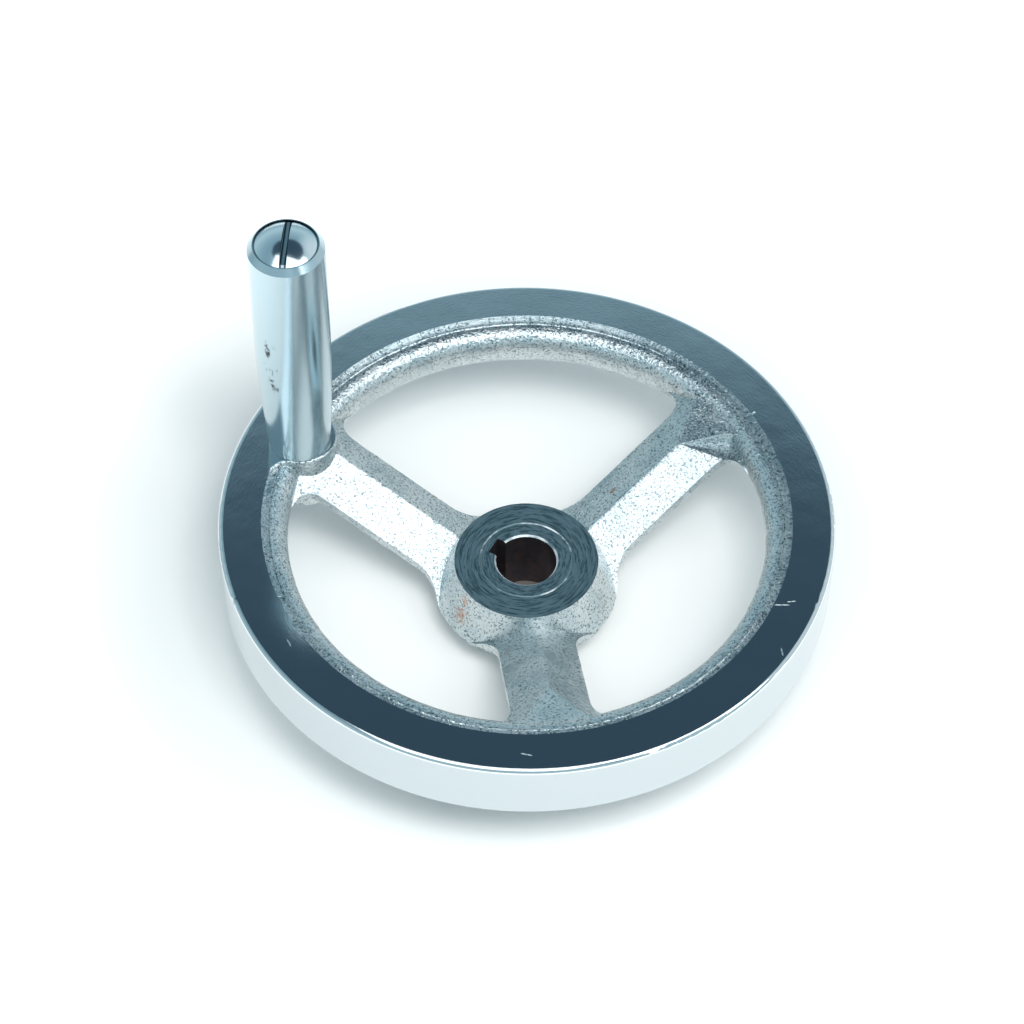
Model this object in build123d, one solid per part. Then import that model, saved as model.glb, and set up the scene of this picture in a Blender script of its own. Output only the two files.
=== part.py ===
"""Three-spoked cast-iron handwheel with a revolving steel handle, in millimetres.

The wheel stands on the back face of its hub: the origin is the centre of that face, +Z runs up
along the bore, and the handle stands on the spoke that points along +X.
Nodes: wheel_casting, handle_spindle and handle_sleeve.
"""
import os
from math import radians, tan

from build123d import *

# ---- Rim -------------------------------------------------------------------------------------
rim_radius = 80.0  # outer cylinder
rim_height = 18.0  # machined face to back edge
rim_face_height = 39.5  # machined face above the hub's back face: the dish of the wheel
rim_face_width = 11.2  # machined band, from its inner edge to the outer cylinder
rim_corner_radius = 1.5  # polished outer corner
rim_back_chamfer = 0.5
belt_width = 0.5  # upright belt around the opening, between the shoulder and the round back
ledge_depth = 1.4  # as-cast ledge below the machined face
ledge_width = 2.2  # from the machined band to the shoulder, crease included
shoulder_radius = 4.4  # cast shoulder between the ledge and the rim's innermost belt
crease_width = 0.5  # parting crease between the ledge and the shoulder
crease_depth = 0.25

# ---- Hub -------------------------------------------------------------------------------------
hub_length = 20.0
hub_face_radius = 19.0
flank_length = 11.5  # drafted flank between the spokes, below the turned face
flank_foot_radius = 24.3
flank_foot_chamfer = 0.6
barrel_inset = 6.3  # plain barrel below the flank, inside the flank's foot
barrel_root_radius = 4.0  # hollow between the barrel and the flank's foot
barrel_chamfer = 0.6
bore_radius = 8.0
bore_chamfer = 0.45
groove_radius = 12.2  # turned groove on the hub's face
groove_width = 0.5
groove_depth = 0.25
keyway_width = 5.0
keyway_reach = 10.0  # bore axis to the keyway's floor
keyway_angle = -5.0  # degrees from +X

# ---- Spokes ----------------------------------------------------------------------------------
spoke_count = 3
spoke_half_width = 10.1
spoke_depth = 8.5  # arris to underside, plumb
spoke_embedment = 3.5  # reach of the spokes into the rim
arris_radius = 1.2
arris_hub_drop = 2.9  # arris below the hub's face, over the edge of that face
arris_fork_drop = 5.5  # arris below the rim's ledge, at the fork of the fan
gable_angle = 23.3  # slope of the two gable faces, degrees
window_rim_radius = 5.5  # corners of the windows at the rim
window_hub_radius = 9.0  # corners of the windows at the hub
underside_radius = 1.2  # rounded edge between the side wall and the underside
handle_arris_offset = -1.4  # sideways run-out of the arris on the handle's spoke
fan_length = 16.6  # fork of the arris to the rim's shoulder
fan_half_angle = 32.0
fan_blend_radius = 12.0  # run-out of the fan into the shoulder of the rim
collar_half_angle = 20.0  # spread of the strip that joins a fan or the boss to the rim
shelf_spoke = 2  # spokes from here on have a shelf beside the fan, counted from the handle's spoke
shelf_fall_angle = 6.0  # fall of the shelf from the fork of the arris to the spoke's edge, degrees

# ---- Handle boss on the rim ------------------------------------------------------------------
handle_inset = 4.0  # boss's centre inside the machined band
handle_offset = 1.4  # handle axis beside the boss's centre, across the spoke
boss_radius = 9.3
boss_blend_radius = 6.0
boss_edge_radius = 0.8
boss_overlap = 1.6  # reach of the boss's lobe into the machined band

# ---- Handle ----------------------------------------------------------------------------------
sleeve_length = 75.0
sleeve_foot_radius = 8.15
sleeve_belly_radius = 9.72
sleeve_belly_height = 43.7
sleeve_foot_chamfer = 0.5
sleeve_bevel_width = 1.35
sleeve_bevel_height = 1.7
counterbore_depth = 4.5
journal_radius = 6.0
head_radius = 7.8
head_dome_height = 2.4
head_edge_drop = 0.3  # the dome starts this far below the sleeve's end
slot_width = 1.8
slot_depth = 2.0
slot_angle = 110.3  # degrees from +X
thread_radius = 5.0  # M10
relief_radius = 4.1
relief_length = 1.5
thread_end_chamfer = 1.0
thread_end_recess = 1.0  # thread end above the rim's back edge
tapped_hole_countersink = 0.4

# ---- Fits ------------------------------------------------------------------------------------
journal_clearance = 0.05  # radial, journal in sleeve
thread_clearance = 0.03  # radial, thread in tapped hole
head_clearance = 0.3  # radial, head in counterbore
sleeve_end_play = 0.15  # at each end of the sleeve

tolerance = 0.01  # for telling edges and corners apart
overshoot = 1.0  # reach of a cut past the face it opens

# ---- Derived places --------------------------------------------------------------------------
rim_back_height = rim_face_height - rim_height
ledge_height = rim_face_height - ledge_depth
back_round_radius = rim_height - ledge_depth - shoulder_radius - belt_width
belt_height = rim_back_height + back_round_radius
face_inner_radius = rim_radius - rim_face_width
shoulder_station = face_inner_radius - ledge_width
opening_radius = shoulder_station - shoulder_radius
fan_station = shoulder_station - fan_length
handle_station = face_inner_radius - handle_inset
arris_hub_height = hub_length - arris_hub_drop
flank_foot_height = hub_length - flank_length
barrel_radius = flank_foot_radius - barrel_inset
arris_fork_height = ledge_height - arris_fork_drop
spoke_rise = (arris_fork_height - arris_hub_height) / (fan_station - hub_face_radius)
gable_fall = tan(radians(gable_angle))
journal_length = sleeve_length - counterbore_depth + 2 * sleeve_end_play
handle_foot = Location((handle_station, handle_offset, rim_face_height))


def arris_at(station):
    """Height of the spokes' arris at a radius from the wheel's axis."""
    return arris_hub_height + spoke_rise * (station - hub_face_radius)


def plan_radius(point):
    """Distance of a point or a corner from the wheel's axis."""
    return Vector(Vector(point).X, Vector(point).Y).length


def on_underside(point):
    """Whether a point lies on the plane under the spoke along +X."""
    return abs(point.Z - arris_at(point.X) + spoke_depth) < tolerance


def revolved(points):
    """Solid of revolution about Z from (radius, height) corners."""
    return revolve(make_face(Plane.XZ * Polyline(*points, close=True)), Axis.Z)


def around(solid):
    """One copy of the solid on each spoke."""
    step = 360 / spoke_count
    return [Rot(0, 0, step * turn) * solid for turn in range(spoke_count)]


def rim():
    """Rim: machined face and cylinder outside, as-cast ledge, shoulder and round back inside."""
    back_inner = opening_radius + back_round_radius
    belt_top = ledge_height - shoulder_radius
    outside = Polyline(
        (back_inner, rim_back_height),
        (rim_radius - rim_back_chamfer, rim_back_height),
        (rim_radius, rim_back_height + rim_back_chamfer),
        (rim_radius, rim_face_height - rim_corner_radius),
    )
    corner = TangentArc(
        (rim_radius, rim_face_height - rim_corner_radius),
        (rim_radius - rim_corner_radius, rim_face_height),
        tangent=(0, 1),
    )
    inside = Polyline(
        (rim_radius - rim_corner_radius, rim_face_height),
        (face_inner_radius, rim_face_height),
        (face_inner_radius, ledge_height),
        (shoulder_station + crease_width, ledge_height),
        (shoulder_station + crease_width / 2, ledge_height - crease_depth),
        (shoulder_station, ledge_height),
    )
    shoulder = TangentArc((shoulder_station, ledge_height), (opening_radius, belt_top), tangent=(-1, 0))
    belt = Line((opening_radius, belt_top), (opening_radius, belt_height))
    back = TangentArc((opening_radius, belt_height), (back_inner, rim_back_height), tangent=(0, -1))
    outline = Curve() + [outside, corner, inside, shoulder, belt, back]
    return revolve(make_face(Plane.XZ * outline), Axis.Z)


def hub():
    """Hub: turned face with its groove on top, drafted flank, barrel down to the flat back face."""
    root_foot = (barrel_radius, flank_foot_height - barrel_root_radius)
    root_top = (barrel_radius + barrel_root_radius, flank_foot_height)
    barrel = Polyline(
        (0, 0),
        (barrel_radius - barrel_chamfer, 0),
        (barrel_radius, barrel_chamfer),
        root_foot,
    )
    root = TangentArc(root_foot, root_top, tangent=(0, 1))
    front = Polyline(
        root_top,
        (flank_foot_radius - flank_foot_chamfer, flank_foot_height),
        (flank_foot_radius, flank_foot_height + flank_foot_chamfer),
        (hub_face_radius, hub_length),
        (groove_radius + groove_width / 2, hub_length),
        (groove_radius, hub_length - groove_depth),
        (groove_radius - groove_width / 2, hub_length),
        (0, hub_length),
        (0, 0),
    )
    return revolve(make_face(Plane.XZ * (Curve() + [barrel, root, front])), Axis.Z)


def sector(half_angle):
    """Plan wedge about +X that holds everything within the half angle."""
    edge = rim_radius * tan(radians(half_angle))
    return make_face(Polyline((0, 0), (rim_radius, -edge), (rim_radius, edge), close=True))


def windows():
    """Outlines of the three openings between the spokes, with their rounded corners."""
    bar = Pos(opening_radius / 2, 0) * Rectangle(opening_radius, 2 * spoke_half_width)
    openings = Circle(opening_radius) - Circle(flank_foot_radius) - around(bar)
    middle = (opening_radius + flank_foot_radius) / 2
    hub_corners = [corner for corner in openings.vertices() if plan_radius(corner) < middle]
    openings = fillet(hub_corners, window_hub_radius)
    rim_corners = [
        corner for corner in openings.vertices() if plan_radius(corner) > opening_radius - tolerance
    ]
    return fillet(rim_corners, window_rim_radius)


def spoke_plan():
    """Outline of one spoke from above, flared where it meets the hub and the rim."""
    return (Circle(opening_radius + spoke_embedment) & sector(180 / spoke_count)) - windows()


def along_spoke(section):
    """Solid that carries a section, drawn at the wheel's axis, outwards along the climb."""
    path = Vector(1, 0, spoke_rise)
    return extrude(Plane.YZ * section, face_inner_radius * path.length, dir=path.normalized())


def under_fan():
    """Everything below the cone that falls from the rim's ledge to the fork of the arris."""
    ledge_inner = shoulder_station + crease_width
    return revolved([
        (0, 0),
        (rim_radius, 0),
        (rim_radius, ledge_height),
        (ledge_inner, ledge_height),
        (fan_station, arris_fork_height),
        (0, arris_fork_height),
    ])


def tall_walls():
    """Spoke's plumb side walls over its climbing underside, their foot rounded, before the gable is cut."""
    walls = Pos(0, 0, -rim_face_height) * extrude(spoke_plan(), 2 * rim_face_height)
    above_underside = Pos(0, arris_at(0) - spoke_depth) * Rectangle(
        2 * rim_radius, 2 * rim_face_height, align=(Align.CENTER, Align.MIN)
    )
    walls = walls & along_spoke(above_underside)
    foot_edges = [
        edge for edge in walls.edges()
        if abs(edge.position_at(0.5).Y) > spoke_half_width - tolerance
        and plan_radius(edge.position_at(0.5)) > flank_foot_radius - tolerance
        and plan_radius(edge.position_at(0.5)) < opening_radius + tolerance
        and on_underside(edge.position_at(0)) and on_underside(edge.position_at(1))
    ]
    return fillet(foot_edges, underside_radius)


def gabled_bar(arris_offset):
    """Spoke: gabled top over plumb sides and a flat underside, climbing from hub to rim."""
    eaves = arris_at(0) - gable_fall * rim_radius
    gable = make_face(Polyline(
        (arris_offset, arris_at(0)), (rim_radius, eaves), (-rim_radius, eaves), close=True,
    ))
    gable = fillet(gable.vertices().sort_by(Axis.Y)[-1], arris_radius)
    foot_plane = Pos(0, 0, flank_foot_height)
    foot_to_ledge = extrude(foot_plane * Circle(rim_radius), ledge_height - flank_foot_height)
    return tall_walls() & along_spoke(gable) & foot_to_ledge


def blended(plan, circle_radius, radius):
    """Plan with its two inward corners on a circle about the wheel's axis rounded off."""
    on_circle = [corner for corner in plan.vertices() if abs(plan_radius(corner) - circle_radius) < tolerance]
    inner_two = sorted(on_circle, key=lambda corner: abs(Vector(corner).Y))[:2]
    return fillet(inner_two, radius)


def fan_plan():
    """Outline of a fan from above: a tongue that widens from the fork and is blended into the rim."""
    flare = (shoulder_station - fan_station) * tan(radians(fan_half_angle))
    tongue = make_face(Polyline(
        (fan_station, 0), (shoulder_station, flare), (shoulder_station, -flare), close=True,
    ))
    collar_outer = (shoulder_station + crease_width + face_inner_radius) / 2
    collar = (Circle(collar_outer) - Circle(shoulder_station)) & sector(collar_half_angle)
    return blended(tongue + collar, shoulder_station, fan_blend_radius)


def fan():
    """Fan at a spoke's outer end, between the two arrises into which the middle one forks."""
    mid_depth = arris_at(0) - spoke_depth / 2
    above_mid_depth = Pos(0, mid_depth) * Rectangle(
        2 * rim_radius, rim_face_height, align=(Align.CENTER, Align.MIN)
    )
    return extrude(fan_plan(), ledge_height) & along_spoke(above_mid_depth) & under_fan()


def above_shelf():
    """Room above the shelf beside a fan, at one side of a spoke along +X, level with the fork."""
    shelf_fall = rim_radius * tan(radians(shelf_fall_angle))
    section = make_face(Polyline(
        (0, arris_fork_height),
        (-rim_radius, arris_fork_height - shelf_fall),
        (-rim_radius, rim_face_height),
        (0, rim_face_height),
        close=True,
    ))
    return extrude(Plane.YZ * section, rim_radius, dir=(1, 0, 0)) - extrude(fan_plan(), rim_face_height)


def boss():
    """Boss for the handle: a lobe of the machined face on top, a plain round stub down to the back."""
    collar = Circle(face_inner_radius + boss_overlap) - Circle(face_inner_radius)
    collar = collar & sector(collar_half_angle)
    lobe = Pos(handle_station, 0) * Circle(boss_radius)
    plan = blended(lobe + collar, face_inner_radius, boss_blend_radius)
    lobe = Pos(0, 0, belt_height) * extrude(plan, rim_face_height - belt_height)
    brim = [
        edge for edge in lobe.edges()
        if edge.position_at(0.5).Z > rim_face_height - tolerance
        and plan_radius(edge.position_at(0.5)) < face_inner_radius + tolerance
    ]
    lobe = fillet(brim, boss_edge_radius)
    stub = Pos(handle_station, 0, (rim_back_height + belt_height) / 2) * Cylinder(
        boss_radius, back_round_radius
    )
    return lobe + stub


def bore_cut():
    """Keyed bore with a chamfer at each end."""
    bore = revolved([
        (0, -overshoot),
        (bore_radius + bore_chamfer, -overshoot),
        (bore_radius + bore_chamfer, 0),
        (bore_radius, bore_chamfer),
        (bore_radius, hub_length - bore_chamfer),
        (bore_radius + bore_chamfer, hub_length),
        (bore_radius + bore_chamfer, hub_length + overshoot),
        (0, hub_length + overshoot),
    ])
    keyway = extrude(
        Pos(keyway_reach / 2, 0, -overshoot) * Rectangle(keyway_reach, keyway_width),
        hub_length + 2 * overshoot,
    )
    return bore + Rot(0, 0, keyway_angle) * keyway


def tapped_hole():
    """Through hole in the boss for the spindle's thread, at the thread's outer diameter."""
    hole_radius = thread_radius + thread_clearance
    mouth = hole_radius + tapped_hole_countersink
    return Pos(handle_station, handle_offset, 0) * revolved([
        (0, 0),
        (mouth, 0),
        (mouth, rim_back_height),
        (hole_radius, rim_back_height + tapped_hole_countersink),
        (hole_radius, rim_face_height - tapped_hole_countersink),
        (mouth, rim_face_height),
        (mouth, rim_radius),
        (0, rim_radius),
    ])


def wheel_casting():
    """Rim, hub, three spokes and the handle's boss in one casting, machined where it is bright."""
    handle_bar = gabled_bar(handle_arris_offset)
    plain_bar = gabled_bar(0) & under_fan()
    shelved_bar = plain_bar - above_shelf()
    bars = [handle_bar] + around(plain_bar)[1:shelf_spoke] + around(shelved_bar)[shelf_spoke:]
    return rim() + hub() + bars + around(fan())[1:] + boss() - bore_cut() - tapped_hole()


def handle_spindle():
    """Spindle: slotted domed head, journal for the sleeve, shoulder and threaded end."""
    head_seat = journal_length
    head_edge = sleeve_end_play + sleeve_length - head_edge_drop
    crown = head_edge + head_dome_height
    thread_end = thread_end_recess - rim_height
    half_profile = Polyline(
        (0, thread_end),
        (thread_radius - thread_end_chamfer, thread_end),
        (thread_radius, thread_end + thread_end_chamfer),
        (thread_radius, -relief_length),
        (relief_radius, -relief_length),
        (relief_radius, 0),
        (journal_radius, 0),
        (journal_radius, head_seat),
        (head_radius, head_seat),
        (head_radius, head_edge),
    )
    dome_radius = (head_radius ** 2 + head_dome_height ** 2) / (2 * head_dome_height)
    dome = RadiusArc((head_radius, head_edge), (0, crown), -dome_radius)
    spine = Line((0, crown), (0, thread_end))
    turned = revolve(make_face(Plane.XZ * (Curve() + [half_profile, dome, spine])), Axis.Z)
    slot = Pos(0, 0, crown - slot_depth) * Rot(0, 0, slot_angle) * Box(
        2 * sleeve_belly_radius, slot_width, sleeve_length, align=(Align.CENTER, Align.CENTER, Align.MIN)
    )
    return handle_foot * (turned - slot)


def handle_sleeve():
    """Sleeve: grip swelling from foot to belly, bevelled end and counterbore for the head."""
    bore = journal_radius + journal_clearance
    counterbore = head_radius + head_clearance
    end_radius = sleeve_belly_radius - sleeve_bevel_width
    foot = Polyline(
        (sleeve_foot_radius, sleeve_foot_chamfer),
        (sleeve_foot_radius - sleeve_foot_chamfer, 0),
        (bore, 0),
        (bore, sleeve_length - counterbore_depth),
        (counterbore, sleeve_length - counterbore_depth),
        (counterbore, sleeve_length),
        (end_radius, sleeve_length),
        (sleeve_belly_radius, sleeve_length - sleeve_bevel_height),
        (sleeve_belly_radius, sleeve_belly_height),
    )
    swell = TangentArc(
        (sleeve_belly_radius, sleeve_belly_height), (sleeve_foot_radius, sleeve_foot_chamfer), tangent=(0, -1)
    )
    turned = revolve(make_face(Plane.XZ * (Curve() + [foot, swell])), Axis.Z)
    return handle_foot * Pos(0, 0, sleeve_end_play) * turned


def write_parts():
    """Write each piece to its own STEP file."""
    os.makedirs("parts", exist_ok=True)
    for make_piece in (wheel_casting, handle_spindle, handle_sleeve):
        export_step(make_piece(), f"parts/{make_piece.__name__}.step")


if __name__ == "__main__":
    write_parts()
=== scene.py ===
"""Dressed scene of a machine handwheel: plated iron wheel, steel spindle and polished steel grip.

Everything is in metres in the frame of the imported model: the origin is the centre of the hub's back
face, +Z runs up the bore and the handle stands on the spoke along +X. The fields of the classes are
in millimetres and degrees, unless a name or a comment says otherwise.
"""
import logging
import math
from dataclasses import dataclass
from enum import Enum

import bmesh
import bpy
from mathutils import Matrix, Vector


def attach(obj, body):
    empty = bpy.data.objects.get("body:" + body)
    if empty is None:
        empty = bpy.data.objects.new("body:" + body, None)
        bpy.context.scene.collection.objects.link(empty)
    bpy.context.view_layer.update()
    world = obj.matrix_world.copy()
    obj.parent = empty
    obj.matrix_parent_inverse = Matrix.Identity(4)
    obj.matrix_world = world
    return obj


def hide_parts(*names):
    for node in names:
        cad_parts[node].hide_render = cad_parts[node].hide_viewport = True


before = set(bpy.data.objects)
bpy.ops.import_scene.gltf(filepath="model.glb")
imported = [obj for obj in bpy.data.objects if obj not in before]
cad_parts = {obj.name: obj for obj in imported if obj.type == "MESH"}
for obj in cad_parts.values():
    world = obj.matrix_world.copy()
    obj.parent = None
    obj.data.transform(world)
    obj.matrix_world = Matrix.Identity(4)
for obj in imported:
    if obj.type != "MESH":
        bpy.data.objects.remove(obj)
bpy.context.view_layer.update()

MM = 0.001
LEVEL = (1.0, 1.0, 0.0)  # keeps what lies in the plane of the wheel
MIX_FACTOR, MIX_FIRST, MIX_SECOND, MIX_RESULT = 0, 6, 7, 2  # sockets of a Mix node for colours
log = logging.getLogger("handwheel")


class Zone(Enum):
    """How a stretch of the wheel casting's surface was finished, or where a highlight is painted on
    its edge; the value is its material slot.
    """

    CAST = 0
    POLISHED = 1
    TURNED = 2
    BORED = 3
    BORE_EDGE_HIGHLIGHT = 4
    GROOVE_HIGHLIGHT = 5


@dataclass(frozen=True)
class StudioAxes:
    """Axes of the studio seen from above: the camera looks along `away`."""

    turn_deg: float = -156.5

    def point(self, right: float, away: float, up: float) -> Vector:
        """Place in the model's frame from studio directions.

        Args:
            right: Distance towards the camera's right.
            away: Distance away from the camera.
            up: Height above the floor.

        Returns:
            The place in the model's frame, in the unit given.
        """
        return Matrix.Rotation(math.radians(self.turn_deg), 3, "Z") @ Vector((right, away, up))


STUDIO = StudioAxes()


def linear(colour: str) -> tuple[float, float, float, float]:
    """Linear colour of an sRGB hex value.

    Args:
        colour: Six hex digits after a hash sign.

    Returns:
        Linear red, green, blue and an alpha of one.
    """
    parts = [int(colour[start:start + 2], 16) / 255 for start in (1, 3, 5)]
    red, green, blue = (p / 12.92 if p <= 0.04045 else ((p + 0.055) / 1.055) ** 2.4 for p in parts)
    return red, green, blue, 1.0


class NodeTree:
    """A node tree that is filled by one helper."""

    def __init__(self, tree: bpy.types.NodeTree) -> None:
        """Empties the tree."""
        self.tree = tree
        tree.nodes.clear()

    def add(
        self,
        kind: str,
        inputs: dict | None = None,
        settings: dict | None = None,
        stops: tuple[tuple[float, str], ...] = (),
        **values,
    ) -> bpy.types.Node:
        """Adds a node with its settings, socket values and links.

        Args:
            kind: Node type without its ShaderNode prefix.
            inputs: Input socket name or number to the socket that feeds it, or to its value.
            settings: Node properties, such as an operation.
            stops: Positions and sRGB hex colours of a colour ramp, in rising order.
            **values: Input socket values by name, with underscores for spaces.

        Returns:
            The new node.
        """
        node = self.tree.nodes.new("ShaderNode" + kind)
        for name, value in (settings or {}).items():
            setattr(node, name, value)
        for number, (position, colour) in enumerate(stops):
            elements = node.color_ramp.elements
            element = elements[number] if number < len(elements) else elements.new(position)
            element.position = position
            element.color = linear(colour)
        for name, value in values.items():
            node.inputs[name.replace("_", " ")].default_value = value
        for name, source in (inputs or {}).items():
            if isinstance(source, bpy.types.NodeSocket):
                self.tree.links.new(source, node.inputs[name])
            else:
                node.inputs[name].default_value = source
        return node


def new_material(name: str) -> tuple[bpy.types.Material, NodeTree]:
    """Adds an empty node material.

    Args:
        name: What the material is and how it was made.

    Returns:
        The material and its tree.
    """
    material = bpy.data.materials.new(name)
    material.use_nodes = True
    return material, NodeTree(material.node_tree)


def per_mm(wavelength: float) -> float:
    """Noise scale in metres that repeats about once every so many millimetres."""
    return 1.0 / (wavelength * MM)


def round_axis(
    tree: NodeTree, place: bpy.types.NodeSocket, stretch: float, radius_mm: float
) -> bpy.types.NodeSocket:
    """Coordinates that follow a turned face: radius across, distance round the axis along.

    Args:
        tree: Tree that gets the nodes.
        place: Object coordinates.
        stretch: How much longer a mark is round the axis than across it.
        radius_mm: Radius at which the distance round the axis is true.

    Returns:
        A vector socket in metres.
    """
    parts = tree.add("SeparateXYZ", {"Vector": place})
    flat = tree.add("VectorMath", {0: place, 1: LEVEL}, {"operation": "MULTIPLY"})
    radius = tree.add("VectorMath", {0: flat.outputs["Vector"]}, {"operation": "LENGTH"})
    angle = tree.add(
        "Math", {0: parts.outputs["Y"], 1: parts.outputs["X"]}, {"operation": "ARCTAN2"},
    )
    along = tree.add(
        "Math", {0: angle.outputs[0], 1: radius_mm * MM / stretch}, {"operation": "MULTIPLY"},
    )
    both = tree.add(
        "CombineXYZ",
        {"X": radius.outputs["Value"], "Y": along.outputs[0], "Z": parts.outputs["Z"]},
    )
    return both.outputs["Vector"]


@dataclass(frozen=True)
class Mark:
    """A small place on a surface: a stain, or a painted dark reflection."""

    place: tuple[float, float, float]
    reach: float


@dataclass(frozen=True)
class Scratch:
    """A short straight scratch on a level face, turned from +X."""

    place: tuple[float, float, float]
    turn_deg: float
    length: float
    width: float = 0.35


RUST = (
    Mark((10.1, 19.5, 14.0), 5.2), Mark((9.9, 17.6, 17.6), 3.4), Mark((31.0, -9.8, 19.5), 1.7),
    Mark((-12.2, -29.8, 21.7), 2.2), Mark((-3.6, 27.0, 13.3), 1.7), Mark((-6.9, 28.6, 18.1), 2.0),
)
CINDERS = (
    Mark((-13.8, 22.5, 20.5), 0.9), Mark((-27.2, 42.3, 31.7), 0.8), Mark((-33.5, 49.6, 35.8), 0.9),
    Mark((-29.9, -54.1, 36.4), 0.9), Mark((29.5, -8.0, 18.6), 1.1),
)
SCRATCHES = (
    Scratch((-70.8, 0.4, 39.5), 23.5, 4.2), Scratch((-72.6, -1.6, 39.5), 31.0, 2.4),
    Scratch((-76.0, 14.0, 39.5), -58.0, 2.6), Scratch((-41.3, -56.0, 39.5), 60.0, 1.8, 0.6),
    Scratch((-30.0, 68.5, 39.5), 12.0, 3.0), Scratch((38.0, 62.0, 39.5), -40.0, 2.6),
)


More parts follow.
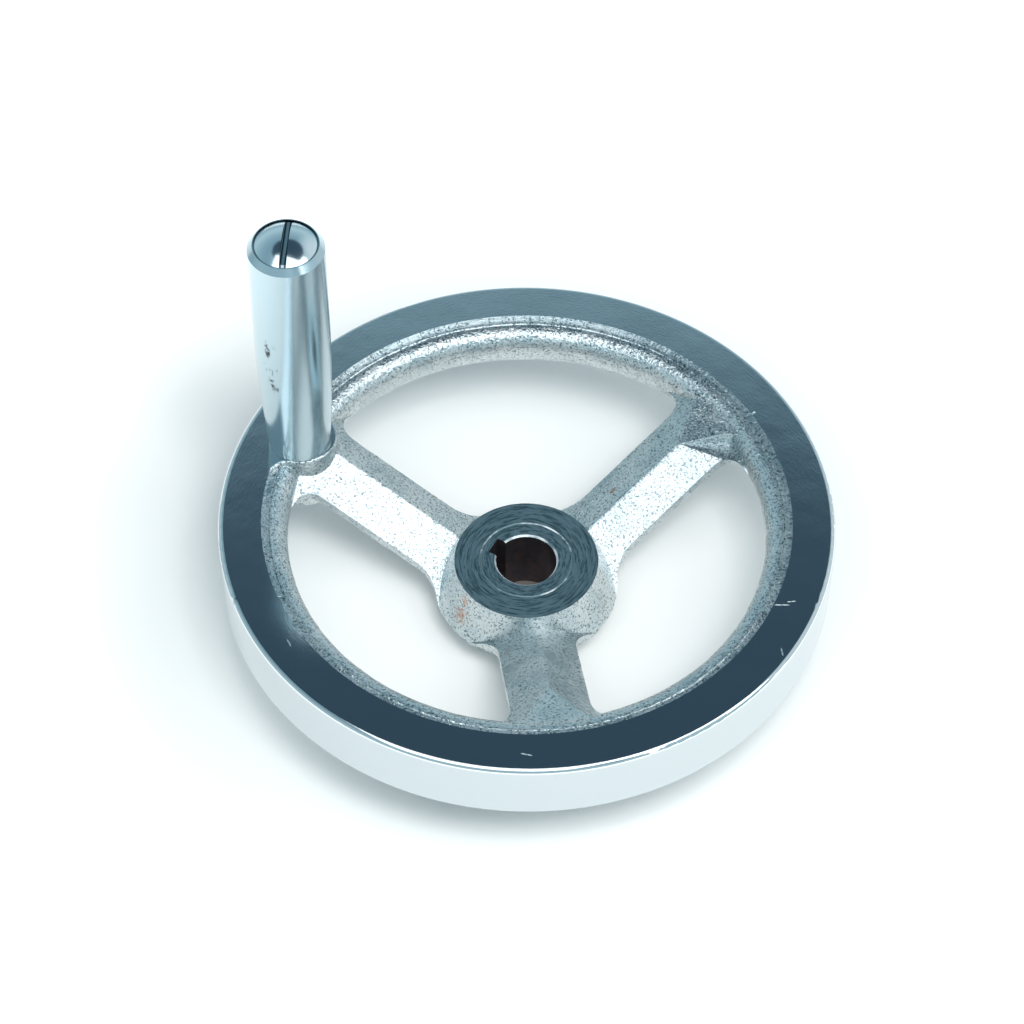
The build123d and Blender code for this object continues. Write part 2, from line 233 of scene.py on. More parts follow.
@dataclass(frozen=True)
class AsCastPlatedIron:
    """Grey iron left as sand-cast and bright plated: a mirror over sand grain, so it glitters.

    The rim's ledges and the fans came out coarser from the mould than the spokes and the hub.
    """

    colour: str = "#d8dedf"
    dull_colour: str = "#c0cbce"
    painted_pit_shade_colour: str = "#768488"
    rust_colour: str = "#b07a58"
    cinder_colour: str = "#2f3638"
    roughness: tuple[float, float] = (0.20, 0.32)
    patch_mm: float = 9.0
    patch_tint_levels: tuple[float, float] = (0.35, 0.6)
    patch_gloss_levels: tuple[float, float] = (0.3, 0.7)
    pit_mm: float = 0.6  # gaps between the sand's grains, painted darker as shade; drawn as coarse as they need to show
    painted_pit_shade_levels: tuple[float, float] = (0.53, 0.65)
    grain_mm: float = 0.7  # sand grain, drawn as coarse as it needs to show
    grain_height_mm: float = 0.17
    clump_mm: float = 1.3
    clump_height_mm: float = 0.30
    coarse_radii_mm: tuple[float, float] = (50.0, 60.0)
    hub_clump_share: float = 0.12
    stain_edge_mm: float = 1.3
    stain_lift: float = 0.34
    stain_levels: tuple[float, float] = (0.68, 0.86)
    stain_strength: float = 0.85

    def material(self) -> bpy.types.Material:
        """Builds the material.

        Returns:
            The material.
        """
        material, tree = new_material("as_cast_plated_iron")
        place = tree.add("TexCoord").outputs["Object"]
        patches = tree.add("TexNoise", {"Vector": place}, Scale=per_mm(self.patch_mm), Detail=3.0)
        tint = tree.add(
            "ValToRGB", {"Fac": patches.outputs["Fac"]},
            stops=tuple(zip(self.patch_tint_levels, (self.dull_colour, self.colour))),
        )
        # Painted shade: the gaps between the sand's grains get a darker colour.
        pits = tree.add(
            "TexNoise", {"Vector": place}, Scale=per_mm(self.pit_mm), Detail=2.0, Roughness=0.55,
        )
        painted_pit_shade = tree.add(
            "MapRange", {"Value": pits.outputs["Fac"]},
            From_Min=self.painted_pit_shade_levels[0], From_Max=self.painted_pit_shade_levels[1],
        )
        colour = tint.outputs["Color"]
        for share, shade in (
            (painted_pit_shade.outputs["Result"], self.painted_pit_shade_colour),
            (self.stains(tree, place, RUST), self.rust_colour),
            (self.stains(tree, place, CINDERS), self.cinder_colour),
        ):
            stained = tree.add(
                "Mix", {MIX_FACTOR: share, MIX_FIRST: colour, MIX_SECOND: linear(shade)},
                {"data_type": "RGBA"},
            )
            colour = stained.outputs[MIX_RESULT]
        gloss = tree.add(
            "MapRange", {"Value": patches.outputs["Fac"]},
            From_Min=self.patch_gloss_levels[0], From_Max=self.patch_gloss_levels[1],
            To_Min=self.roughness[0], To_Max=self.roughness[1],
        )
        shader = tree.add(
            "BsdfPrincipled",
            {
                "Base Color": colour,
                "Roughness": gloss.outputs["Result"],
                "Normal": self.relief(tree, place),
            },
            Metallic=1.0,
        )
        tree.add("OutputMaterial", {"Surface": shader.outputs["BSDF"]})
        return material

    def relief(self, tree: NodeTree, place: bpy.types.NodeSocket) -> bpy.types.NodeSocket:
        """Normal of the sand's grain, coarser towards the rim.

        Args:
            tree: Tree that gets the nodes.
            place: Object coordinates.

        Returns:
            The normal socket.
        """
        flat = tree.add("VectorMath", {0: place, 1: LEVEL}, {"operation": "MULTIPLY"})
        radius = tree.add("VectorMath", {0: flat.outputs["Vector"]}, {"operation": "LENGTH"})
        coarse = tree.add(
            "MapRange", {"Value": radius.outputs["Value"]},
            From_Min=self.coarse_radii_mm[0] * MM, From_Max=self.coarse_radii_mm[1] * MM,
            To_Min=self.hub_clump_share, To_Max=1.0,
        )
        clumps = tree.add(
            "TexNoise", {"Vector": place}, Scale=per_mm(self.clump_mm), Detail=2.0, Roughness=0.6,
        )
        swelling = tree.add(
            "Math", {0: clumps.outputs["Fac"], 1: coarse.outputs["Result"]},
            {"operation": "MULTIPLY"},
        )
        lumps = tree.add(
            "Bump", {"Height": swelling.outputs[0]},
            Strength=1.0, Distance=self.clump_height_mm * MM,
        )
        grains = tree.add(
            "TexNoise", {"Vector": place}, Scale=per_mm(self.grain_mm), Detail=3.0, Roughness=0.6,
        )
        fine = tree.add(
            "Bump", {"Height": grains.outputs["Fac"], "Normal": lumps.outputs["Normal"]},
            Strength=1.0, Distance=self.grain_height_mm * MM,
        )
        return fine.outputs["Normal"]

    def stains(
        self, tree: NodeTree, place: bpy.types.NodeSocket, marks: tuple[Mark, ...]
    ) -> bpy.types.NodeSocket:
        """How stained each place is: a few small patches with ragged edges.

        Args:
            tree: Tree that gets the nodes.
            place: Object coordinates.
            marks: Middles and reaches of the patches.

        Returns:
            A factor socket.
        """
        ragged = tree.add(
            "TexNoise", {"Vector": place},
            Scale=per_mm(self.stain_edge_mm), Detail=5.0, Roughness=0.7,
        )
        strongest = 0.0
        for mark in marks:
            away = tree.add(
                "VectorMath", {0: place, 1: Vector(mark.place) * MM}, {"operation": "DISTANCE"},
            )
            near = tree.add(
                "MapRange", {"Value": away.outputs["Value"]},
                From_Min=0.0, From_Max=mark.reach * MM, To_Min=self.stain_lift, To_Max=0.0,
            )
            level = tree.add(
                "Math", {0: ragged.outputs["Fac"], 1: near.outputs["Result"]},
                {"operation": "ADD"},
            )
            stained = tree.add(
                "MapRange", {"Value": level.outputs[0]}, To_Max=self.stain_strength,
                From_Min=self.stain_levels[0], From_Max=self.stain_levels[1],
            )
            strongest = tree.add(
                "Math", {0: strongest, 1: stained.outputs["Result"]}, {"operation": "MAXIMUM"},
            ).outputs[0]
        return strongest


@dataclass(frozen=True)
class PolishedPlatedRim:
    """Iron rim turned, polished and bright plated: a near mirror, faintly dragged round the rim."""

    colour: str = "#d0d7da"
    roughness: float = 0.11
    wave_mm: float = 14.0
    wave_height_mm: float = 0.05
    drag_mm: float = 0.5  # grit of the polishing wheel, drawn as coarse as it needs to show
    drag_stretch: float = 3.0
    drag_height_mm: float = 0.014
    drag_strength: float = 0.7
    rim_radius_mm: float = 74.0
    scratch_depth_mm: float = 0.12
    scratch_floor: float = 0.3

    def material(self) -> bpy.types.Material:
        """Builds the material.

        Returns:
            The material.
        """
        material, tree = new_material("polished_plated_iron")
        place = tree.add("TexCoord").outputs["Object"]
        around = round_axis(tree, place, self.drag_stretch, self.rim_radius_mm)
        waves = tree.add("TexNoise", {"Vector": place}, Scale=per_mm(self.wave_mm), Detail=2.0)
        drags = tree.add(
            "TexNoise", {"Vector": around}, Scale=per_mm(self.drag_mm), Detail=3.0, Roughness=0.6,
        )
        waved = tree.add(
            "Bump", {"Height": waves.outputs["Fac"]},
            Strength=1.0, Distance=self.wave_height_mm * MM,
        )
        dragged = tree.add(
            "Bump", {"Height": drags.outputs["Fac"], "Normal": waved.outputs["Normal"]},
            Strength=self.drag_strength, Distance=self.drag_height_mm * MM,
        )
        scored = tree.add(
            "Bump",
            {"Height": self.scratches(tree, place), "Normal": dragged.outputs["Normal"]},
            Strength=1.0, Distance=-self.scratch_depth_mm * MM,
        )
        shader = tree.add(
            "BsdfPrincipled", {"Normal": scored.outputs["Normal"]},
            Base_Color=linear(self.colour), Metallic=1.0, Roughness=self.roughness,
        )
        tree.add("OutputMaterial", {"Surface": shader.outputs["BSDF"]})
        return material

    def scratches(self, tree: NodeTree, place: bpy.types.NodeSocket) -> bpy.types.NodeSocket:
        """How deep the polished face is scored at each place.

        Args:
            tree: Tree that gets the nodes.
            place: Object coordinates.

        Returns:
            A depth socket, one at the bottom of a scratch.
        """
        deepest = 0.0
        for scratch in SCRATCHES:
            away = tree.add(
                "VectorMath", {0: place, 1: Vector(scratch.place) * MM},
                {"operation": "SUBTRACT"},
            )
            squeezed = tree.add(
                "Mapping", {"Vector": away.outputs["Vector"]}, {"vector_type": "TEXTURE"},
                Rotation=(0.0, 0.0, math.radians(scratch.turn_deg)),
                Scale=(scratch.length / 2 * MM, scratch.width / 2 * MM, scratch.length * MM),
            )
            reach = tree.add(
                "VectorMath", {0: squeezed.outputs["Vector"]}, {"operation": "LENGTH"},
            )
            depth = tree.add(
                "MapRange", {"Value": reach.outputs["Value"]},
                From_Min=1.0, From_Max=self.scratch_floor,
            )
            deepest = tree.add(
                "Math", {0: deepest, 1: depth.outputs["Result"]}, {"operation": "MAXIMUM"},
            ).outputs[0]
        return deepest


@dataclass(frozen=True)
class TurnedIronFace:
    """Grey iron faced off in a lathe and left bare: mid grey, broken rings where the tool ran."""

    colour: str = "#a4b9bf"
    dark_colour: str = "#627980"
    tint_levels: tuple[float, float] = (0.38, 0.56)
    ring_mm: float = 0.42  # feed of the tool, drawn as coarse as it needs to show
    ring_stretch: float = 9.0
    ring_height_mm: float = 0.05
    mark_radius_mm: float = 14.0
    roughness: float = 0.34

    def material(self) -> bpy.types.Material:
        """Builds the material.

        Returns:
            The material.
        """
        material, tree = new_material("turned_bare_iron")
        place = tree.add("TexCoord").outputs["Object"]
        around = round_axis(tree, place, self.ring_stretch, self.mark_radius_mm)
        rings = tree.add(
            "TexNoise", {"Vector": around}, Scale=per_mm(self.ring_mm), Detail=3.0, Roughness=0.65,
        )
        tint = tree.add(
            "ValToRGB", {"Fac": rings.outputs["Fac"]},
            stops=tuple(zip(self.tint_levels, (self.dark_colour, self.colour))),
        )
        bump = tree.add(
            "Bump", {"Height": rings.outputs["Fac"]},
            Strength=1.0, Distance=self.ring_height_mm * MM,
        )
        shader = tree.add(
            "BsdfPrincipled",
            {"Base Color": tint.outputs["Color"], "Normal": bump.outputs["Normal"]},
            Metallic=1.0, Roughness=self.roughness,
        )
        tree.add("OutputMaterial", {"Surface": shader.outputs["BSDF"]})
        return material


@dataclass(frozen=True)
class RustedIronBore:
    """Grey iron bored, left bare and browned: dark, with faint rings of the boring bar."""

    colour: str = "#63626a"
    rust_colour: str = "#7a6c6c"
    spot_mm: float = 2.5
    spot_levels: tuple[float, float] = (0.42, 0.62)
    ring_mm: float = 0.9  # feed of the boring bar, drawn as coarse as it needs to show
    ring_stretch: float = 12.0
    ring_height_mm: float = 0.05
    bore_radius_mm: float = 8.0
    metallic: float = 0.9
    roughness: float = 0.34

    def material(self) -> bpy.types.Material:
        """Builds the material.

        Returns:
            The material.
        """
        material, tree = new_material("browned_iron_bore")
        place = tree.add("TexCoord").outputs["Object"]
        spots = tree.add(
            "TexNoise", {"Vector": place}, Scale=per_mm(self.spot_mm), Detail=5.0, Roughness=0.65,
        )
        around = round_axis(tree, place, self.ring_stretch, self.bore_radius_mm)
        rings = tree.add(
            "TexNoise", {"Vector": around}, Scale=per_mm(self.ring_mm), Detail=3.0, Roughness=0.6,
        )
        tint = tree.add(
            "ValToRGB", {"Fac": spots.outputs["Fac"]},
            stops=tuple(zip(self.spot_levels, (self.colour, self.rust_colour))),
        )
        bump = tree.add(
            "Bump", {"Height": rings.outputs["Fac"]},
            Strength=1.0, Distance=self.ring_height_mm * MM,
        )
        shader = tree.add(
            "BsdfPrincipled",
            {"Base Color": tint.outputs["Color"], "Normal": bump.outputs["Normal"]},
            Metallic=self.metallic, Roughness=self.roughness,
        )
        tree.add("OutputMaterial", {"Surface": shader.outputs["BSDF"]})
        return material


@dataclass(frozen=True)
class PaintedEdgeHighlight:
    """Iron edge with a painted highlight: a thin pale line, broken by stretches of dull bare iron."""

    name: str
    highlight_levels: tuple[float, float]
    # The pale colour is a painted highlight; the dull colour is the bare iron between its breaks.
    colour: str = "#f2f6f7"
    dull_colour: str = "#7d9198"
    highlight_break_mm: float = 5.0
    metallic: float = 0.75
    roughness: float = 0.55

    def material(self) -> bpy.types.Material:
        """Builds the material.

        Returns:
            The material.
        """
        material, tree = new_material(self.name)
        place = tree.add("TexCoord").outputs["Object"]
        painted_patches = tree.add("TexNoise", {"Vector": place}, Scale=per_mm(self.highlight_break_mm), Detail=3.0)
        tint = tree.add(
            "ValToRGB", {"Fac": painted_patches.outputs["Fac"]},
            stops=tuple(zip(self.highlight_levels, (self.dull_colour, self.colour))),
        )
        shader = tree.add(
            "BsdfPrincipled", {"Base Color": tint.outputs["Color"]},
            Metallic=self.metallic, Roughness=self.roughness,
        )
        tree.add("OutputMaterial", {"Surface": shader.outputs["BSDF"]})
        return material


@dataclass(frozen=True)
class PolishedSteel:
    """Bright steel polished along its length: soft upright streaks, with dark upright reflections
    painted on.
    """

    name: str
    colour: str = "#b9cbd2"
    roughness: float = 0.19
    streak_mm: float = 0.6  # marks of the polishing belt, drawn as coarse as they need to show
    streak_stretch: float = 40.0
    streak_height_mm: float = 0.012
    streak_strength: float = 0.6
    painted_reflections: tuple[Mark, ...] = ()
    # Colour of the painted dark reflections, also of the painted shade in the slot.
    dark_reflection_and_shade_colour: str = "#343c42"
    reflection_mm: float = 1.8
    reflection_squeeze: float = 0.45
    reflection_spread: tuple[float, float, float] = (1.7, 1.7, 0.7)
    reflection_lift: tuple[float, float] = (0.20, -0.10)
    reflection_levels: tuple[float, float] = (0.62, 0.74)
    slot_middle_mm: tuple[float, float] | None = None
    slot_deg: float = 0.0
    slot_half_width_mm: float = 0.88
    slot_floor_shade_colour: str = "#8fa3ac"

    def material(self) -> bpy.types.Material:
        """Builds the material.

        Returns:
            The material.
        """
        material, tree = new_material(self.name)
        place = tree.add("TexCoord").outputs["Object"]
        stretched = tree.add(
            "Mapping", {"Vector": place}, Scale=(1.0, 1.0, 1.0 / self.streak_stretch),
        )
        streaks = tree.add(
            "TexNoise", {"Vector": stretched.outputs["Vector"]},
            Scale=per_mm(self.streak_mm), Detail=3.0,
        )
        bump = tree.add(
            "Bump", {"Height": streaks.outputs["Fac"]},
            Strength=self.streak_strength, Distance=self.streak_height_mm * MM,
        )
        colour = linear(self.colour)
        if self.painted_reflections:
            colour = self.with_painted_reflections(tree, place)
        if self.slot_middle_mm:
            colour = self.slotted(tree, place)
        shader = tree.add(
            "BsdfPrincipled", {"Base Color": colour, "Normal": bump.outputs["Normal"]},
            Metallic=1.0, Roughness=self.roughness,
        )
        tree.add("OutputMaterial", {"Surface": shader.outputs["BSDF"]})
        return material

    def with_painted_reflections(self, tree: NodeTree, place: bpy.types.NodeSocket) -> bpy.types.NodeSocket:
        """Colour with clusters of painted dark upright reflections.

        Args:
            tree: Tree that gets the nodes.
            place: Object coordinates.

        Returns:
            The colour socket.
        """
        upright = tree.add("Mapping", {"Vector": place}, Scale=(1.0, 1.0, self.reflection_squeeze))
        painted_patches = tree.add(
            "TexNoise", {"Vector": upright.outputs["Vector"]},
            Scale=per_mm(self.reflection_mm), Detail=6.0, Roughness=0.72,
        )
        darkest = 0.0
        for dark_band in self.painted_reflections:
            away = tree.add(
                "VectorMath", {0: place, 1: Vector(dark_band.place) * MM}, {"operation": "SUBTRACT"},
            )
            spread = tree.add(
                "VectorMath", {0: away.outputs["Vector"], 1: self.reflection_spread},
                {"operation": "MULTIPLY"},
            )
            reach = tree.add(
                "VectorMath", {0: spread.outputs["Vector"]}, {"operation": "LENGTH"},
            )
            near = tree.add(
                "MapRange", {"Value": reach.outputs["Value"]},
                From_Min=0.0, From_Max=dark_band.reach * MM,
                To_Min=self.reflection_lift[0], To_Max=self.reflection_lift[1],
            )
            level = tree.add(
                "Math", {0: painted_patches.outputs["Fac"], 1: near.outputs["Result"]}, {"operation": "ADD"},
            )
            dark = tree.add(
                "MapRange", {"Value": level.outputs[0]},
                From_Min=self.reflection_levels[0], From_Max=self.reflection_levels[1],
            )
            darkest = tree.add(
                "Math", {0: darkest, 1: dark.outputs["Result"]}, {"operation": "MAXIMUM"},
            ).outputs[0]
        mixed = tree.add(
            "Mix",
            {
                MIX_FACTOR: darkest,
                MIX_FIRST: linear(self.colour),
                MIX_SECOND: linear(self.dark_reflection_and_shade_colour),
            },
            {"data_type": "RGBA"},
        )
        return mixed.outputs[MIX_RESULT]

    def slotted(self, tree: NodeTree, place: bpy.types.NodeSocket) -> bpy.types.NodeSocket:
        """Colour with painted shade in the screwdriver slot: dark along its two walls, mid grey on
        its floor.

        Args:
            tree: Tree that gets the nodes.
            place: Object coordinates.

        Returns:
            The colour socket.
        """
        turn = math.radians(self.slot_deg)
        away = tree.add(
            "VectorMath", {0: place, 1: Vector((*self.slot_middle_mm, 0.0)) * MM},
            {"operation": "SUBTRACT"},
        )
        across = tree.add(
            "VectorMath", {0: away.outputs["Vector"], 1: (-math.sin(turn), math.cos(turn), 0.0)},
            {"operation": "DOT_PRODUCT"},
        )
        width = tree.add("Math", {0: across.outputs["Value"]}, {"operation": "ABSOLUTE"})
        inside = tree.add(
            "MapRange", {"Value": width.outputs[0]},
            From_Min=0.0, From_Max=self.slot_half_width_mm * MM,
        )
        # Painted shade: the slot's walls darkest, its floor mid grey.
        tint = tree.add(
            "ValToRGB", {"Fac": inside.outputs["Result"]},
            stops=(
                (0.25, self.slot_floor_shade_colour),
                (0.55, self.dark_reflection_and_shade_colour),
                (0.97, self.dark_reflection_and_shade_colour),
                (1.0, self.colour),
            ),
        )
        return tint.outputs["Color"]


def deselect_all() -> None:
    """Leaves no object selected or active."""
    bpy.ops.object.select_all(action="DESELECT")
    bpy.context.view_layer.objects.active = None


def make_active(piece: bpy.types.Object) -> None:
    """Selects one piece alone.

    Args:
        piece: The piece to work on.
    """
    deselect_all()
    piece.select_set(True)
    bpy.context.view_layer.objects.active = piece


def split_into_triangles() -> None:
    """Turns every face of the mesh in edit mode into triangles."""
    bpy.ops.mesh.select_all(action="SELECT")
    bpy.ops.mesh.quads_convert_to_tris(quad_method="BEAUTY", ngon_method="BEAUTY")


@dataclass(frozen=True)
class Waviness:
    """A swelling of the cast skin: the size of its waves and how far they rise in all."""

    name: str
    size: float
    height: float


@dataclass
class WheelCasting:
    """The wheel: rim, spokes, hub and boss in one casting, rough where the sand left it.

    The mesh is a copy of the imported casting, so the slack fields only find the true surfaces.
    """

    node: str = "wheel_casting"
    body: str = "wheel"
    slot: str = "plated_cast_iron"
    rim_face_height: float = 39.5
    rim_face_inner: float = 68.8
    rim_inner_edge_depth: float = 1.5
    rim_outer: float = 78.3
    rim_corner_middle: tuple[float, float] = (78.5, 38.0)
    rim_corner_radius: float = 1.5
    rim_back_height: float = 21.5
    hub_face_height: float = 20.0
    hub_face_radius: float = 19.0
    hub_back_radius: float = 18.0
    hub_back_chamfer: float = 0.6
    flank_foot_radius: float = 24.3
    bore_reach: float = 10.2
    bore_radius: float = 8.0
    bore_chamfer: float = 0.45
    groove_span: tuple[float, float] = (11.8, 12.6)
    skin: tuple[Waviness, ...] = (Waviness("lumps", 4.5, 0.10), Waviness("mould", 9.0, 0.26))
    skin_octaves: int = 2
    merge_slack: float = 0.002
    face_slack: float = 0.05
    inner_edge_slack: float = 0.25
    turned_slack: float = 0.3
    hub_edge_slack: float = 0.5
    corner_slack: float = 0.1
    corner_foot_slack: float = 0.01
    on_corner_slack: float = 0.001
    rim_corner_cuts: int = 1
    grain_edge: float = 1.2
    refine_passes: int = 8
    crease_deg: float = 32.0
    level_normal: float = 0.9  # share of the normal along the axis on a level face
    back_normal: float = -0.99
    chamfer_normal: float = 0.3

    def build(self) -> list[bpy.types.Object]:
        """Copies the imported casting, refines and roughens it, and gives each zone its finish.

        Returns:
            The dressed casting.
        """
        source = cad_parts[self.node]
        piece = bpy.data.objects.new("wheel_casting_dressed", source.data.copy())
        bpy.context.scene.collection.objects.link(piece)
        self.dress(piece)
        make_active(piece)
        bpy.ops.mesh.customdata_custom_splitnormals_clear()
        bpy.ops.object.mode_set(mode="EDIT")
        bpy.ops.mesh.select_all(action="SELECT")
        bpy.ops.mesh.remove_doubles(threshold=self.merge_slack * MM)
        shape = bmesh.from_edit_mesh(piece.data)
        for face in shape.faces:
            face.material_index = self.zone_of(face.calc_center_median(), face.normal).value
        bmesh.update_edit_mesh(piece.data)
        self.round_rim_corner(piece)
        self.refine(piece)
        bpy.ops.object.mode_set(mode="OBJECT")
        self.roughen(piece)
        make_active(piece)
        bpy.ops.object.shade_smooth_by_angle(angle=math.radians(self.crease_deg))
        weighted = piece.modifiers.new("flat_faces_stay_flat", "WEIGHTED_NORMAL")
        weighted.keep_sharp = True
        bpy.ops.object.modifier_apply(modifier=weighted.name)
        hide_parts(self.node)
        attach(piece, self.body)
        return [piece]

    def dress(self, piece: bpy.types.Object) -> None:
        """Gives the casting one material a zone, in the order of the zones.

        Args:
            piece: The casting.
        """
        piece.data.materials.clear()
        for finish in (
            AsCastPlatedIron(),
            PolishedPlatedRim(),
            TurnedIronFace(),
            RustedIronBore(),
            PaintedEdgeHighlight("bore_edge_painted_highlight", highlight_levels=(0.36, 0.50)),
            PaintedEdgeHighlight("groove_painted_highlight", highlight_levels=(0.52, 0.66)),
        ):
            piece.data.materials.append(finish.material())

    def zone_of(self, centre: Vector, normal: Vector) -> Zone:
        """How the surface at a place was finished.

        Args:
            centre: Place on the surface, in metres.
            normal: Outward normal there.

        Returns:
            The finish.
        """
        radius = math.hypot(centre.x, centre.y) / MM
        height = centre.z / MM
        is_steep = abs(normal.z) < self.level_normal
        if height > self.rim_face_height - self.face_slack or radius > self.rim_outer:
            return Zone.POLISHED
        is_back = height < self.rim_back_height + self.face_slack and normal.z < self.back_normal
        if is_back and radius > self.flank_foot_radius:
            return Zone.POLISHED
        is_inner_edge = abs(radius - self.rim_face_inner) < self.inner_edge_slack
        if is_inner_edge and height > self.rim_face_height - self.rim_inner_edge_depth and is_steep:
            return Zone.POLISHED
        is_hub_edge = height > self.hub_face_height - self.hub_edge_slack and is_steep
        is_at_bore = radius < self.bore_radius + self.bore_chamfer
        # The bore's chamfer and the hub's groove get a painted highlight.
        if is_hub_edge and is_at_bore and normal.z > self.chamfer_normal:
            return Zone.BORE_EDGE_HIGHLIGHT
        if is_hub_edge and self.groove_span[0] < radius < self.groove_span[1]:
            return Zone.GROOVE_HIGHLIGHT
        if radius < self.bore_reach and is_steep:
            return Zone.BORED
        is_hub_face = height > self.hub_face_height - self.turned_slack
        if is_hub_face and radius < self.hub_face_radius + self.face_slack:
            return Zone.TURNED
        if height < self.hub_back_chamfer + self.face_slack and radius < self.hub_back_radius:
            return Zone.TURNED
        return Zone.CAST

    def from_corner_middle(self, place: Vector) -> tuple[float, float]:
        """How far outward and upward a place is from the middle of the rim corner's round."""
        middle_radius, middle_height = self.rim_corner_middle
        return math.hypot(place.x, place.y) / MM - middle_radius, place.z / MM - middle_height

    def is_in_corner(self, place: Vector) -> bool:
        """Whether a place belongs to the rim's outer corner.

        Args:
            place: Place on the surface, in metres.

        Returns:
            True on the corner's round and its two edges.
        """
        outward, upward = self.from_corner_middle(place)
        top = self.rim_corner_radius + self.corner_slack
        return outward > -self.corner_slack and -self.corner_foot_slack < upward < top

    def round_rim_corner(self, piece: bpy.types.Object) -> None:
        """Splits the polished outer corner finer, on its true round, so that its shine runs on.

        Args:
            piece: The casting, in edit mode.
        """
        shape = bmesh.from_edit_mesh(piece.data)
        for face in shape.faces:
            face.select_set(all(self.is_in_corner(vertex.co) for vertex in face.verts))
        bpy.ops.mesh.subdivide(number_cuts=self.rim_corner_cuts, ngon=False)
        middle_radius, middle_height = self.rim_corner_middle
        shape = bmesh.from_edit_mesh(piece.data)
        for vertex in shape.verts:
            outward, upward = self.from_corner_middle(vertex.co)
            if outward > 0 and upward > -self.on_corner_slack:
                stretch = self.rim_corner_radius / math.hypot(outward, upward)
                spread = (middle_radius + outward * stretch) / (middle_radius + outward)
                vertex.co.x *= spread
                vertex.co.y *= spread
                vertex.co.z = (middle_height + upward * stretch) * MM
        bmesh.update_edit_mesh(piece.data)
        split_into_triangles()

    def refine(self, piece: bpy.types.Object) -> None:
        """Splits the long edges of the cast faces until they can carry the grain.

        Args:
            piece: The casting, in edit mode.
        """
        for _ in range(self.refine_passes):
            if not self.select_long_cast_edges(piece.data):
                break
            bpy.ops.mesh.subdivide(number_cuts=1, ngon=False, quadcorner="INNERVERT")
            split_into_triangles()

    def select_long_cast_edges(self, mesh: bpy.types.Mesh) -> int:
        """Selects the edges of cast faces that are longer than the grain's edge.

        Args:
            mesh: The casting's mesh, in edit mode.

        Returns:
            How many edges were selected.
        """
        shape = bmesh.from_edit_mesh(mesh)
        bpy.ops.mesh.select_all(action="DESELECT")
        count = 0
        for edge in shape.edges:
            is_cast = any(face.material_index == Zone.CAST.value for face in edge.link_faces)
            if is_cast and edge.calc_length() > self.grain_edge * MM:
                edge.select = True
                count += 1
        bmesh.update_edit_mesh(mesh)
        return count

    def roughen(self, piece: bpy.types.Object) -> None:
        """Raises the waves of the cast skin, fading out at the machined edges.

        Args:
            piece: The casting, in object mode.
        """
        machined = {
            vertex for face in piece.data.polygons if face.material_index != Zone.CAST.value
            for vertex in face.vertices
        }
        cast = [v.index for v in piece.data.vertices if v.index not in machined]
        group = piece.vertex_groups.new(name="cast")
        group.add(cast, 1.0, "REPLACE")
        for waves in self.skin:
            texture = bpy.data.textures.new(waves.name, "CLOUDS")
            texture.noise_scale = waves.size * MM
            texture.noise_depth = self.skin_octaves
            modifier = piece.modifiers.new(waves.name, "DISPLACE")
            modifier.texture = texture
            modifier.vertex_group = group.name
            modifier.strength = waves.height * MM
            modifier.mid_level = 0.5
            make_active(piece)
            bpy.ops.object.modifier_apply(modifier=modifier.name)


@dataclass
class Handle:
    """The revolving grip and its spindle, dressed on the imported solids."""

    axis_mm: tuple[float, float] = (64.8, 1.4)
    slot_deg: float = 110.3
    # Places of the painted dark reflections on the grip's near side.
    painted_reflections: tuple[Mark, ...] = (Mark((66.7, 10.9, 84.2), 6.5), Mark((66.4, 10.9, 72.5), 7.5))
    head_colour: str = "#d2e0e6"
    head_roughness: float = 0.14

    def build(self) -> list[bpy.types.Object]:
        """Dresses the two steel pieces.

        Returns:
            The sleeve and the spindle.
        """
        grip = PolishedSteel("polished_steel_grip", painted_reflections=self.painted_reflections)
        head = PolishedSteel(
            "polished_steel_head", colour=self.head_colour, roughness=self.head_roughness,
            slot_middle_mm=self.axis_mm, slot_deg=self.slot_deg,
        )
        pieces = []
        for node, finish in (("handle_sleeve", grip), ("handle_spindle", head)):
            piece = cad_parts[node]
            piece.data.materials.clear()
            piece.data.materials.append(finish.material())
            pieces.append(piece)
        return pieces


@dataclass(frozen=True)
class Softbox:
    """A square soft lamp: its place to the right, away and up in the studio, side and watts."""

    name: str
    place: tuple[float, float, float]
    side: float
    power: float
    is_mirrored: bool = True


@dataclass(frozen=True)
class Panel:
    """A soft-edged panel of the surroundings: its direction, edge and core angles, and colour."""

    direction: tuple[float, float, float]
    edge_deg: float
    core_deg: float
    colour: str


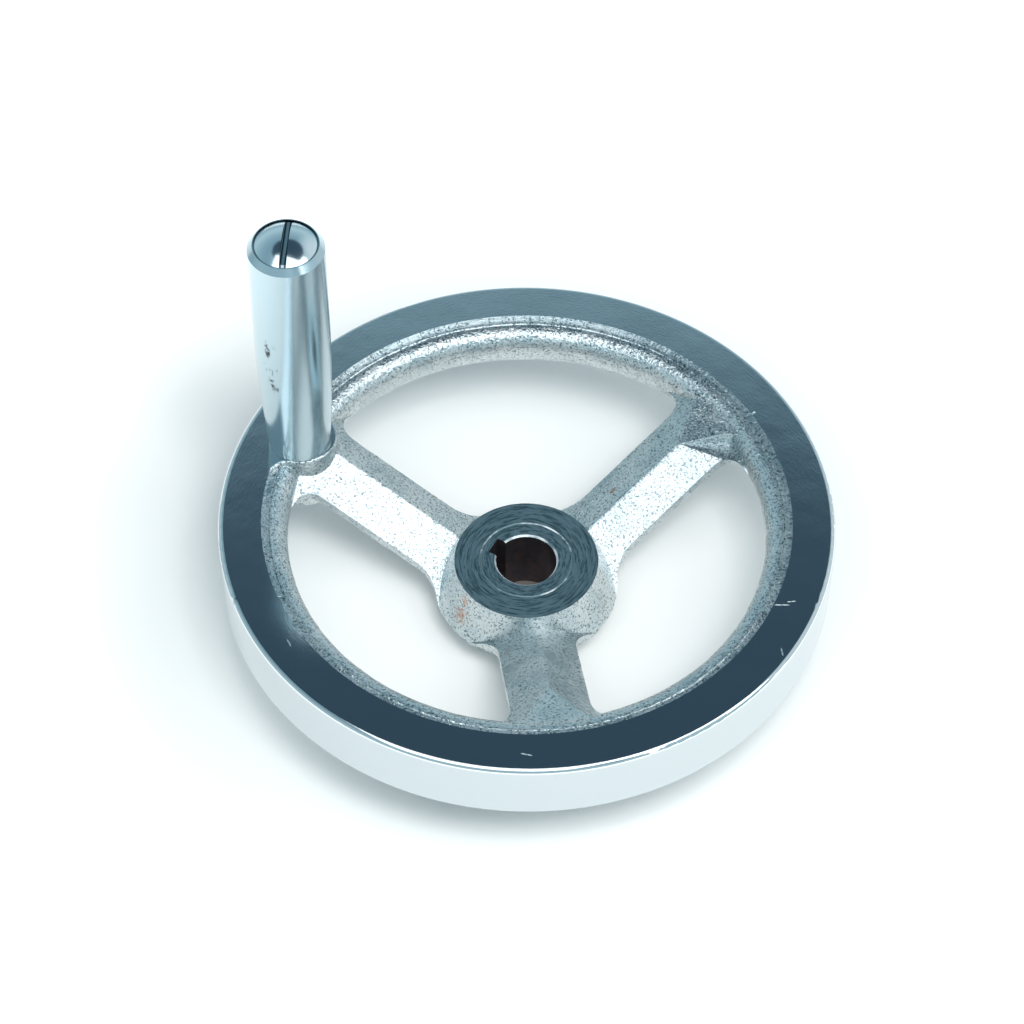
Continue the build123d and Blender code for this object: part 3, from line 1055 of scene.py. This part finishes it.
@dataclass(frozen=True)
class StudioSet:
    """Pale floor, soft light from the right and above, and the camera."""

    focal: float = 112.0
    sensor: float = 36.0
    clip_end: float = 20000.0
    elevation_deg: float = 51.80
    roll_deg: float = 0.51
    target_height: float = 39.5
    offset_right: float = 3.875
    offset_up: float = 0.547
    distance: float = 825.1
    floor_radius: float = 3000.0
    floor_sides: int = 64
    floor_drop: float = 0.1
    floor_colour: str = "#eeeeec"
    floor_glow_colour: str = "#fffdfa"
    floor_glow: float = 0.6
    floor_glow_radii: tuple[float, float] = (90.0, 200.0)
    # Painted shade on the floor under the hub's bore.
    hub_shade_colour: str = "#76716f"
    hub_shade_radii: tuple[float, float] = (9.0, 12.0)
    fill: float = 0.82
    wall_stops: tuple[tuple[float, str], ...] = (
        (0.0, "#9dbcc8"), (0.28, "#c6dfe8"), (0.6, "#9dbcc8"), (0.78, "#8dadbb"), (1.0, "#a6c1cc"),
    )
    panels: tuple[Panel, ...] = (
        Panel((0.78, 0.40, 0.42), 42.0, 12.0, "#e2eff4"),
        Panel((0.03, 0.208, 0.978), 30.5, 27.0, "#3a5161"),
    )
    aim_height: float = 28.5
    softboxes: tuple[Softbox, ...] = (
        Softbox("overhead", (-91.0, -364.0, 838.0), 800.0, 3.5),
        Softbox("right", (500.0, -273.0, 718.0), 600.0, 2.6),
        Softbox("key", (130.0, -390.0, 830.0), 300.0, 4.0, is_mirrored=False),
    )

    def build(self) -> list[bpy.types.Object]:
        """Builds the floor, the light and the camera.

        Returns:
            The floor.
        """
        piece = self.floor()
        self.surroundings()
        for softbox in self.softboxes:
            self.lamp(softbox)
        self.camera()
        return [piece]

    def seen(self, tree: NodeTree) -> bpy.types.NodeSocket:
        """Tells rays to the eye, a mirror or through glass from those that only light.

        Args:
            tree: Tree that gets the nodes.

        Returns:
            A socket that is one for what is seen, and zero otherwise.
        """
        rays = tree.add("LightPath").outputs
        seen = rays["Is Camera Ray"]
        for kind in ("Is Glossy Ray", "Is Transmission Ray"):
            seen = tree.add("Math", {0: seen, 1: rays[kind]}, {"operation": "MAXIMUM"}).outputs[0]
        return seen

    def floor(self) -> bpy.types.Object:
        """Pale matt floor with painted shade under the hub, and white far out to the eye and to
        mirrors.

        Returns:
            The floor.
        """
        deselect_all()
        bpy.ops.mesh.primitive_circle_add(
            vertices=self.floor_sides, radius=self.floor_radius * MM, fill_type="NGON",
            location=(0, 0, -self.floor_drop * MM),
        )
        piece = bpy.context.active_object
        piece.name = "floor"
        material, tree = new_material("pale_studio_floor")
        place = tree.add("TexCoord").outputs["Object"]
        reach = tree.add("VectorMath", {0: place}, {"operation": "LENGTH"})
        lit = tree.add(
            "MapRange", {"Value": reach.outputs["Value"]}, {"interpolation_type": "SMOOTHSTEP"},
            From_Min=self.floor_glow_radii[0] * MM, From_Max=self.floor_glow_radii[1] * MM,
            To_Min=0.0, To_Max=self.floor_glow,
        )
        glow = tree.add(
            "Math", {0: self.seen(tree), 1: lit.outputs["Result"]}, {"operation": "MULTIPLY"},
        )
        # Painted shade: the floor is darker near the hub's axis, under the bore.
        hub_shaded = tree.add(
            "MapRange", {"Value": reach.outputs["Value"]},
            From_Min=self.hub_shade_radii[0] * MM, From_Max=self.hub_shade_radii[1] * MM,
        )
        paper = tree.add(
            "ValToRGB", {"Fac": hub_shaded.outputs["Result"]},
            stops=((0.0, self.hub_shade_colour), (1.0, self.floor_colour)),
        )
        matt = tree.add("BsdfDiffuse", {"Color": paper.outputs["Color"]})
        light = tree.add(
            "Emission", {"Strength": glow.outputs[0]}, Color=linear(self.floor_glow_colour),
        )
        both = tree.add("AddShader", {0: matt.outputs[0], 1: light.outputs[0]})
        tree.add("OutputMaterial", {"Surface": both.outputs[0]})
        piece.data.materials.append(material)
        return piece

    def surroundings(self) -> None:
        """World seen by the mirrors: pale walls, a dark ceiling and soft fill."""
        world = bpy.data.worlds.new("studio")
        bpy.context.scene.world = world
        world.use_nodes = True
        tree = NodeTree(world.node_tree)
        place = tree.add("TexCoord").outputs["Generated"]
        turned = tree.add(
            "Mapping", {"Vector": place}, Rotation=(0.0, 0.0, math.radians(-STUDIO.turn_deg)),
        )
        parts = tree.add("SeparateXYZ", {"Vector": turned.outputs["Vector"]})
        walls = tree.add("ValToRGB", {"Fac": parts.outputs["Z"]}, stops=self.wall_stops)
        colour = walls.outputs["Color"]
        for panel in self.panels:
            towards = tree.add(
                "VectorMath",
                {0: turned.outputs["Vector"], 1: Vector(panel.direction).normalized()},
                {"operation": "DOT_PRODUCT"},
            )
            share = tree.add(
                "MapRange", {"Value": towards.outputs["Value"]},
                {"interpolation_type": "SMOOTHSTEP"},
                From_Min=math.cos(math.radians(panel.edge_deg)),
                From_Max=math.cos(math.radians(panel.core_deg)),
            )
            mixed = tree.add(
                "Mix",
                {
                    MIX_FACTOR: share.outputs["Result"],
                    MIX_FIRST: colour,
                    MIX_SECOND: linear(panel.colour),
                },
                {"data_type": "RGBA"},
            )
            colour = mixed.outputs[MIX_RESULT]
        strength = tree.add("MapRange", {"Value": self.seen(tree)}, To_Min=self.fill, To_Max=1.0)
        background = tree.add(
            "Background", {"Color": colour, "Strength": strength.outputs["Result"]},
        )
        tree.add("OutputWorld", {"Surface": background.outputs[0]})

    def lamp(self, softbox: Softbox) -> None:
        """Adds one soft lamp aimed at the wheel.

        Args:
            softbox: The lamp to add.
        """
        data = bpy.data.lights.new(softbox.name, "AREA")
        data.size = softbox.side * MM
        data.energy = softbox.power
        light = bpy.data.objects.new(softbox.name, data)
        bpy.context.scene.collection.objects.link(light)
        light.location = STUDIO.point(*softbox.place) * MM
        aim = Vector((0, 0, self.aim_height * MM)) - light.location
        light.rotation_euler = aim.to_track_quat("-Z", "Y").to_euler()
        light.visible_glossy = softbox.is_mirrored

    def camera(self) -> None:
        """Places the camera by its elevation, roll and offset from the rim's centre."""
        lift = math.radians(self.elevation_deg)
        roll = math.radians(self.roll_deg)
        back = STUDIO.point(0, -math.cos(lift), math.sin(lift))
        level_up = STUDIO.point(0, math.sin(lift), math.cos(lift))
        level_right = STUDIO.point(1, 0, 0)
        right = level_right * math.cos(roll) + level_up * math.sin(roll)
        up = level_up * math.cos(roll) - level_right * math.sin(roll)
        target = Vector((0, 0, self.target_height))
        place = back * self.distance + up * self.offset_up - right * self.offset_right + target
        data = bpy.data.cameras.new("camera")
        data.lens = self.focal
        data.sensor_width = self.sensor
        data.clip_end = self.clip_end * MM
        camera = bpy.data.objects.new("camera", data)
        bpy.context.scene.collection.objects.link(camera)
        axes = Matrix((right, up, back)).transposed().to_4x4()
        camera.matrix_world = Matrix.Translation(place * MM) @ axes
        bpy.context.scene.camera = camera


def main() -> None:
    """Builds the wheel, the handle and the studio in order, and reports each piece."""
    logging.basicConfig(level=logging.INFO, format="%(message)s")
    bpy.context.scene.view_settings.view_transform = "Standard"
    for assembly in (WheelCasting(), Handle(), StudioSet()):
        for piece in assembly.build():
            name = type(assembly).__name__
            log.info("%s: %s, %d faces", name, piece.name, len(piece.data.polygons))


if __name__ == "__main__":
    main()
